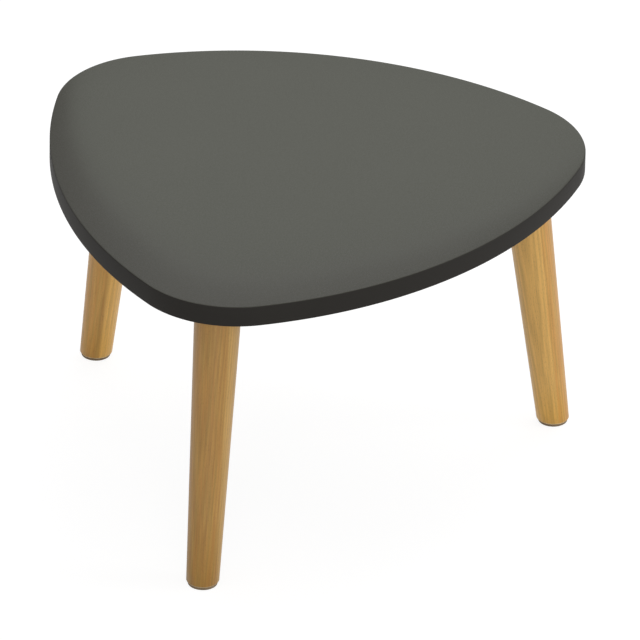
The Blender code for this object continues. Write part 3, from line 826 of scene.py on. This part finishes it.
def varnished_wood(leg, to_leg, seed):
    """Straight-grained hardwood under clear satin varnish, with streaks that run the length of the leg.

    Fine fibres, wider bands and faint growth rings about a pith beside the leg add up to its light and dark.
    Its hue drifts between olive and rosy in streaks of their own, as the photograph shows, and short dark
    dashes are open pores. Paler sapwood lies along one side of the leg, beyond a plane that wanders with the
    bands; on the back leg it is paler still and lies on the lit side, where it stands in part as painted
    light.
    Near the foot the colour is darkened and deepened as painted shade, and a pale painted highlight lies on
    the foot's edge. The whole is scaled by the leg's own tone, partly since no two blanks are alike and
    partly
    as painted light and shade: the front leg, under the board, is darker, and the right and back legs
    lighter."""
    material, tree, shader, place = new_material(f"varnished_beech_{leg}")
    local = add_node(
        tree,
        "ShaderNodeMapping",
        {"Vector": place, "Location": to_leg.translation, "Rotation": to_leg.to_euler()},
        vector_type="TEXTURE",
    ).outputs[0]

    def streaks(width, stretch, detail):
        """Noise in streaks of one width, drawn out along the leg."""
        drawn = add_node(
            tree,
            "ShaderNodeMapping",
            {"Vector": local, "Location": (seed, seed / 2, 0), "Scale": (1, 1, stretch)},
        )
        return add_node(
            tree, "ShaderNodeTexNoise", {"Vector": drawn.outputs[0], "Scale": 1 / width, "Detail": detail}
        )

    fibres = streaks(FIBRE_WIDTH, FIBRE_STRETCH, FIBRE_DETAIL)
    bands = streaks(BAND_WIDTH, BAND_STRETCH, BAND_DETAIL)
    hues = streaks(HUE_WIDTH, HUE_STRETCH, HUE_DETAIL)
    pith = add_node(
        tree,
        "ShaderNodeMapping",
        {
            "Vector": local,
            "Location": (PITH_DISTANCE * cos(seed), PITH_DISTANCE * sin(seed), 0),
            "Rotation": (PITH_LEAN, PITH_LEAN, 0),
        },
    ).outputs[0]
    bent = add_node(
        tree,
        "ShaderNodeVectorMath",
        {0: bands.outputs["Color"], 1: (RING_WANDER, RING_WANDER, 0), 2: pith},
        operation="MULTIPLY_ADD",
    ).outputs[0]
    rings = add_node(
        tree,
        "ShaderNodeTexWave",
        {"Vector": bent, "Scale": WAVE_NODE_SPACING / RING_SPACING},
        wave_type="RINGS",
        rings_direction="Z",
    )
    finer = add_node(
        tree,
        "ShaderNodeMix",
        {"Factor": BAND_SHARE, VALUE_A: fibres.outputs["Fac"], VALUE_B: bands.outputs["Fac"]},
        data_type="FLOAT",
    )
    figure = add_node(
        tree,
        "ShaderNodeMix",
        {"Factor": RING_SHARE, VALUE_A: finer.outputs[0], VALUE_B: rings.outputs["Fac"]},
        data_type="FLOAT",
    )
    # The figure's brightness is scaled by the leg's tone, which is partly painted light and shade.
    brightness = add_node(
        tree,
        "ShaderNodeMapRange",
        {
            "Value": figure.outputs[0],
            "From Min": FIGURE_SPREAD[0],
            "From Max": FIGURE_SPREAD[1],
            "To Min": PALEST_WOOD * LEG_TONES_AND_PAINTED_LIGHT[leg],
            "To Max": DARKEST_WOOD * LEG_TONES_AND_PAINTED_LIGHT[leg],
        },
    )
    hue_share = add_node(
        tree,
        "ShaderNodeMapRange",
        {"Value": hues.outputs["Fac"], "From Min": HUE_SPREAD[0], "From Max": HUE_SPREAD[1]},
    )
    hue = add_node(
        tree,
        "ShaderNodeMix",
        {"Factor": hue_share.outputs[0], COLOUR_A: linear(WOOD_OLIVE), COLOUR_B: linear(WOOD_ROSY)},
        data_type="RGBA",
    )
    # Paler sapwood on one side; on the back leg it also stands as painted light on the lit side.
    aside = add_node(
        tree,
        "ShaderNodeVectorMath",
        {0: local, 1: (cos(SAPWOOD_SIDES[leg]), sin(SAPWOOD_SIDES[leg]), 0)},
        operation="DOT_PRODUCT",
    ).outputs["Value"]
    wandering = add_node(
        tree,
        "ShaderNodeMath",
        {0: bands.outputs["Fac"], 1: SAPWOOD_WANDER, 2: aside},
        operation="MULTIPLY_ADD",
    )
    border = SAPWOOD_STARTS[leg] + SAPWOOD_WANDER / 2
    sapwood = add_node(
        tree,
        "ShaderNodeMapRange",
        {
            "Value": wandering.outputs[0],
            "From Min": border,
            "From Max": border + SAPWOOD_FADE,
            "To Max": SAPWOOD_SHARE,
        },
        interpolation_type="SMOOTHSTEP",
    )
    sided = add_node(
        tree,
        "ShaderNodeMix",
        {
            "Factor": sapwood.outputs[0],
            COLOUR_A: hue.outputs[MIXED_COLOUR],
            COLOUR_B: linear(SAPWOOD_AND_LIT_SIDE_COLOURS[leg]),
        },
        data_type="RGBA",
    )
    pore_place = add_node(tree, "ShaderNodeMapping", {"Vector": local, "Scale": (1, 1, PORE_STRETCH)})
    pores = add_node(
        tree, "ShaderNodeTexVoronoi", {"Vector": pore_place.outputs[0], "Scale": 1 / PORE_WIDTH}
    )
    pore = add_node(
        tree,
        "ShaderNodeMapRange",
        {
            "Value": pores.outputs["Distance"],
            "From Min": PORE_REACH[0],
            "From Max": PORE_REACH[1],
            "To Min": PORE_SHARE,
            "To Max": 0,
        },
    )
    pored = add_node(
        tree,
        "ShaderNodeMix",
        {"Factor": pore.outputs[0], COLOUR_A: sided.outputs[MIXED_COLOUR], COLOUR_B: linear(PORE_COLOUR)},
        data_type="RGBA",
    )
    height = add_node(tree, "ShaderNodeSeparateXYZ", {0: place}).outputs["Z"]
    edge_top = FOOT_LEVEL + FOOT_CHAMFER
    # Painted highlight: a pale band on the foot's chamfered edge.
    edge_highlight = add_node(
        tree,
        "ShaderNodeMapRange",
        {
            "Value": height,
            "From Min": edge_top,
            "From Max": edge_top + FOOT_EDGE_HIGHLIGHT_FADE,
            "To Min": FOOT_EDGE_HIGHLIGHT_SHARE,
            "To Max": 0,
        },
    )
    edged = add_node(
        tree,
        "ShaderNodeMix",
        {
            "Factor": edge_highlight.outputs[0],
            COLOUR_A: pored.outputs[MIXED_COLOUR],
            COLOUR_B: linear(FOOT_EDGE_HIGHLIGHT_COLOUR),
        },
        data_type="RGBA",
    )

    def towards_foot(at_foot):
        """A factor of 1 down the leg that passes to another value over the last stretch above the foot."""
        return add_node(
            tree,
            "ShaderNodeMapRange",
            {
                "Value": height,
                "From Min": edge_top,
                "From Max": FOOT_SHADE_HEIGHTS[leg],
                "To Min": at_foot,
            },
        ).outputs[0]

    # Painted shade near the foot: darker and more saturated towards the floor.
    value = add_node(
        tree,
        "ShaderNodeMath",
        {0: brightness.outputs[0], 1: towards_foot(FOOT_SHADE_VALUES[leg])},
        operation="MULTIPLY",
    )
    colour = add_node(
        tree,
        "ShaderNodeHueSaturation",
        {
            "Color": edged.outputs[MIXED_COLOUR],
            "Value": value.outputs[0],
            "Saturation": towards_foot(FOOT_SHADE_SATURATION),
        },
    )
    roughness = add_node(
        tree,
        "ShaderNodeMapRange",
        {"Value": fibres.outputs["Fac"], "To Min": VARNISH_ROUGHNESS[0], "To Max": VARNISH_ROUGHNESS[1]},
    )
    relief = add_node(
        tree,
        "ShaderNodeMath",
        {0: pore.outputs[0], 1: -PORE_DEPTH_SHARE, 2: fibres.outputs["Fac"]},
        operation="MULTIPLY_ADD",
    )
    bump = add_node(
        tree,
        "ShaderNodeBump",
        {"Height": relief.outputs[0], "Distance": FIBRE_HEIGHT, "Strength": FIBRE_BUMP},
    )
    feed_shader(tree, shader, colour.outputs[0], roughness.outputs[0], bump.outputs[0])
    return material


for seed, (name, axis_frame) in enumerate(axis_frames.items(), start=1):
    leg = leg_mesh(f"turned_leg_{name}", axis_frame)
    wood = varnished_wood(name, axis_frame, seed)
    add_piece(f"turned_leg_{name}", leg, wood, f"leg_{name}")

# Felt pads
# A disc of grey-brown needle felt is stuck under each foot, a little smaller than the wood, so that the
# table slides without scratching. Its cut edge bulges slightly and is fuzzy with loose fibres.

PAD_RADIUS = 0.0172
PAD_THICKNESS = 0.003
PAD_EDGE_ROUND = 0.0003
PAD_EDGE_POWER = 6
PAD_BULGE = 0.0002
PAD_FUZZ = 0.00012
PAD_FUZZ_WAVES = (7, 17, 31, 47)
PAD_FUZZ_TWIST = 9
PAD_STEPS = 160
PAD_ROWS = 9
PAD_SMOOTH_ANGLE = radians(50)
FELT_COLOUR = "6E6050"
FELT_FIBRE_COLOUR = "AE9673"
FELT_FIBRE_SIZE = 0.0005
FELT_FIBRE_DETAIL = 4
FELT_FIBRE_FRAYING = 0.7
FELT_FIBRE_CURL = 1.5
FELT_FIBRE_SPREAD = (0.35, 0.65)
FELT_FIBRE_HEIGHT = 0.00025
FELT_ROUGHNESS = 0.88
FELT_SHEEN = 0.3
FELT_SPECULAR = 0.2


def pad_mesh(name, middle):
    """A felt disc: rings up its edge, whose radius bulges as a half sine of the height and has a fixed fuzz.

    The fuzz is a sum of waves round the edge, with counts that share no factor, so that it never repeats."""
    angles = np.linspace(0, 2 * pi, PAD_STEPS, endpoint=False)
    share = np.linspace(0, 1, PAD_ROWS)[:, None]
    fuzz = 0
    for turn, count in enumerate(PAD_FUZZ_WAVES, start=1):
        fuzz += np.sin(count * angles + PAD_FUZZ_TWIST * share * turn) / len(PAD_FUZZ_WAVES)
    drawn_in = PAD_EDGE_ROUND * np.abs(2 * share - 1) ** PAD_EDGE_POWER
    radii = PAD_RADIUS - PAD_BULGE - PAD_FUZZ - drawn_in + PAD_BULGE * np.sin(pi * share) + PAD_FUZZ * fuzz
    heights = PAD_THICKNESS * share[:, 0]
    rings = turned_rings(angles, heights, radii)
    ends = turned_rings(angles, heights[[0, -1]], radii[[0, -1]] - PAD_EDGE_ROUND)
    mesh = ring_mesh(name, np.concatenate((ends[:1], rings, ends[1:])))
    mesh.transform(Matrix.Translation(middle))
    return mesh


def needle_felt():
    """Needle felt: matted polyester and wool fibre, fully matt, with paler loose fibres on browner ones."""
    material, tree, shader, place = new_material("brown_needle_felt")
    fibres = add_node(
        tree,
        "ShaderNodeTexNoise",
        {
            "Vector": place,
            "Scale": 1 / FELT_FIBRE_SIZE,
            "Detail": FELT_FIBRE_DETAIL,
            "Roughness": FELT_FIBRE_FRAYING,
            "Distortion": FELT_FIBRE_CURL,
        },
    ).outputs["Fac"]
    loose = add_node(
        tree,
        "ShaderNodeMapRange",
        {"Value": fibres, "From Min": FELT_FIBRE_SPREAD[0], "From Max": FELT_FIBRE_SPREAD[1]},
    )
    colour = add_node(
        tree,
        "ShaderNodeMix",
        {"Factor": loose.outputs[0], COLOUR_A: linear(FELT_COLOUR), COLOUR_B: linear(FELT_FIBRE_COLOUR)},
        data_type="RGBA",
    )
    roughness = add_node(tree, "ShaderNodeMapRange", {"Value": fibres, "To Min": FELT_ROUGHNESS, "To Max": 1})
    bump = add_node(tree, "ShaderNodeBump", {"Height": fibres, "Distance": FELT_FIBRE_HEIGHT})
    feed_shader(tree, shader, colour.outputs[MIXED_COLOUR], roughness.outputs[0], bump.outputs[0])
    shader.inputs["Sheen Weight"].default_value = FELT_SHEEN
    shader.inputs["Specular IOR Level"].default_value = FELT_SPECULAR
    return material


felt = needle_felt()
for name in corner_frames:
    low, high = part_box(f"foot_pad_{name}")
    pad = pad_mesh(f"felt_pad_{name}", ((low.x + high.x) / 2, (low.y + high.y) / 2, low.z))
    add_piece(f"felt_pad_{name}", pad, felt, f"foot_pad_{name}", PAD_SMOOTH_ANGLE)

# Floor and backdrop
# A plain white studio floor. What sees it directly gets almost all of its white from the floor's own glow,
# so that it stays an even white and still keeps the table's soft shadow.

FLOOR_REACH = 30
FLOOR_BOUNCE = 0.45
FLOOR_GLOW = 0.86
FLOOR_SHADED_SHARE = 0.30

floor_mesh = bpy.data.meshes.new("floor")
floor_corners = [(x * FLOOR_REACH, y * FLOOR_REACH, 0) for x, y in ((-1, -1), (1, -1), (1, 1), (-1, 1))]
floor_mesh.from_pydata(floor_corners, [], [range(len(floor_corners))])
floor = new_object("floor", floor_mesh)


def seen_directly(tree):
    """1 for camera, glossy and transmission rays, and 0 for the rays that carry light between surfaces."""
    path = add_node(tree, "ShaderNodeLightPath")
    first = add_node(
        tree,
        "ShaderNodeMath",
        {0: path.outputs["Is Camera Ray"], 1: path.outputs["Is Glossy Ray"]},
        operation="MAXIMUM",
    )
    both = add_node(
        tree,
        "ShaderNodeMath",
        {0: first.outputs[0], 1: path.outputs["Is Transmission Ray"]},
        operation="MAXIMUM",
    )
    return both.outputs[0]


def emptied_tree(owner):
    """The node tree of a new material or world, emptied."""
    owner.use_nodes = True
    owner.node_tree.nodes.clear()
    return owner.node_tree


def studio_floor():
    """Matt white paper, clear from below, so that views from under the table show its underside."""
    material = bpy.data.materials.new("studio_paper")
    tree = emptied_tree(material)
    bounce = add_node(tree, "ShaderNodeBsdfDiffuse", {"Color": (FLOOR_BOUNCE,) * 3 + (1,)})
    shaded = add_node(tree, "ShaderNodeBsdfDiffuse", {"Color": (FLOOR_SHADED_SHARE,) * 3 + (1,)})
    glow = add_node(tree, "ShaderNodeEmission", {"Strength": FLOOR_GLOW})
    seen = add_node(tree, "ShaderNodeAddShader", {0: shaded.outputs[0], 1: glow.outputs[0]})
    paper = add_node(
        tree, "ShaderNodeMixShader", {0: seen_directly(tree), 1: bounce.outputs[0], 2: seen.outputs[0]}
    )
    clear = add_node(tree, "ShaderNodeBsdfTransparent")
    below = add_node(tree, "ShaderNodeNewGeometry").outputs["Backfacing"]
    surface = add_node(tree, "ShaderNodeMixShader", {0: below, 1: paper.outputs[0], 2: clear.outputs[0]})
    add_node(tree, "ShaderNodeOutputMaterial", {"Surface": surface.outputs[0]})
    return material


floor_mesh.materials.append(studio_floor())

# World and lamps
# An even white world fills in. A large soft lamp overhead and behind lights the board's face, another on the
# right gives the legs their bright side, and a third fills in from the front.

WORLD_FILL = 0.55

world = bpy.data.worlds.new("studio")
bpy.context.scene.world = world
sky = emptied_tree(world)
seen_world = add_node(sky, "ShaderNodeBackground", {"Strength": 1})
fill_world = add_node(sky, "ShaderNodeBackground", {"Strength": WORLD_FILL})
mixed_world = add_node(
    sky, "ShaderNodeMixShader", {0: seen_directly(sky), 1: fill_world.outputs[0], 2: seen_world.outputs[0]}
)
add_node(sky, "ShaderNodeOutputWorld", {"Surface": mixed_world.outputs[0]})

VIEW_AIM = Vector((-0.0025, -0.0074, 0.1737))
LAMPS = {
    "overhead_softbox": {"azimuth": 150, "elevation": 62, "distance": 1.7, "size": 1.4, "power": 8},
    "right_softbox": {"azimuth": 72, "elevation": 10, "distance": 8, "size": 3, "power": 170},
    "front_fill": {"azimuth": -16, "elevation": 14, "distance": 3, "size": 1.6, "power": 20},
}


def direction(azimuth, elevation):
    """The direction from the table out to a viewer: azimuth 0 stands towards -Y and 90 towards +X."""
    a, e = radians(azimuth), radians(elevation)
    return Vector((sin(a) * cos(e), -cos(a) * cos(e), sin(e)))


for name, lamp in LAMPS.items():
    light = bpy.data.lights.new(name, "AREA")
    light.size = lamp["size"]
    light.energy = lamp["power"]
    holder = new_object(name, light)
    outward = direction(lamp["azimuth"], lamp["elevation"])
    holder.location = VIEW_AIM + outward * lamp["distance"]
    holder.rotation_euler = outward.to_track_quat("Z", "Y").to_euler()
    holder.visible_camera = False

# Camera
# A long lens from above and a little to the left, as the photograph's even, nearly parallel lines show. It
# looks at the middle of the table, and is rolled by one degree.

VIEW_AZIMUTH = -14.807
VIEW_ELEVATION = 30.119
VIEW_ROLL = radians(1.114)
VIEW_DISTANCE = 12.928
LENS_LENGTH = 633.3
SENSOR_WIDTH = 36

camera_data = bpy.data.cameras.new("camera")
camera_data.lens = LENS_LENGTH
camera_data.sensor_width = SENSOR_WIDTH
camera = new_object("camera", camera_data)
bpy.context.scene.camera = camera
backward = direction(VIEW_AZIMUTH, VIEW_ELEVATION)
level_right = Vector((cos(radians(VIEW_AZIMUTH)), sin(radians(VIEW_AZIMUTH)), 0))
level_up = backward.cross(level_right)
right = level_right * cos(VIEW_ROLL) + level_up * sin(VIEW_ROLL)
up = level_up * cos(VIEW_ROLL) - level_right * sin(VIEW_ROLL)
camera.location = VIEW_AIM + backward * VIEW_DISTANCE
camera.rotation_mode = "QUATERNION"
camera.rotation_quaternion = Matrix((right, up, backward)).transposed().to_quaternion()

# Reflecting panels
# Two white panels, cut to the board's own shape, are mirrored softly by the satin face. The low one hangs
# over the board's back half, where the camera sees it mirrored on all of the face but its left and front
# margins, so those stay darker. The high one evens out the face when it is seen from above.

PANEL_STRENGTH = 2.3
PANEL_COLOUR = "F9FFF6"
LOW_PANEL_HEIGHT = 0.09
LOW_PANEL_SET_BACK = (0.048, 0.074)
LOW_PANEL_GROWTH = 1.04
HIGH_PANEL_HEIGHT = 1.2
HIGH_PANEL_GROWTH = 2

panel_paper = bpy.data.materials.new("panel_paper")
paper_tree = emptied_tree(panel_paper)
panel_glow = add_node(
    paper_tree, "ShaderNodeEmission", {"Color": linear(PANEL_COLOUR), "Strength": PANEL_STRENGTH}
)
add_node(paper_tree, "ShaderNodeOutputMaterial", {"Surface": panel_glow.outputs[0]})


def hang_panel(name, middle, growth):
    """A level, glowing sheet of the board's outline, which is seen in gloss alone."""
    places = np.column_stack((outline_places * growth, np.zeros(len(outline_places))))
    mesh = bpy.data.meshes.new(name)
    mesh.from_pydata(places + np.array(middle), [], [range(len(places))])
    mesh.materials.append(panel_paper)
    panel = new_object(name, mesh)
    panel.visible_camera = False
    panel.visible_diffuse = False
    panel.visible_shadow = False
    panel.visible_transmission = False


mirrored = direction(180 + VIEW_AZIMUTH, VIEW_ELEVATION)
low_middle = mirrored * (LOW_PANEL_HEIGHT / mirrored.z) + Vector((*LOW_PANEL_SET_BACK, TABLE_HEIGHT))
hang_panel("low_panel", low_middle, LOW_PANEL_GROWTH)
hang_panel("high_panel", Vector((0, 0, TABLE_HEIGHT + HIGH_PANEL_HEIGHT)), HIGH_PANEL_GROWTH)

bpy.context.scene.view_settings.view_transform = "Standard"
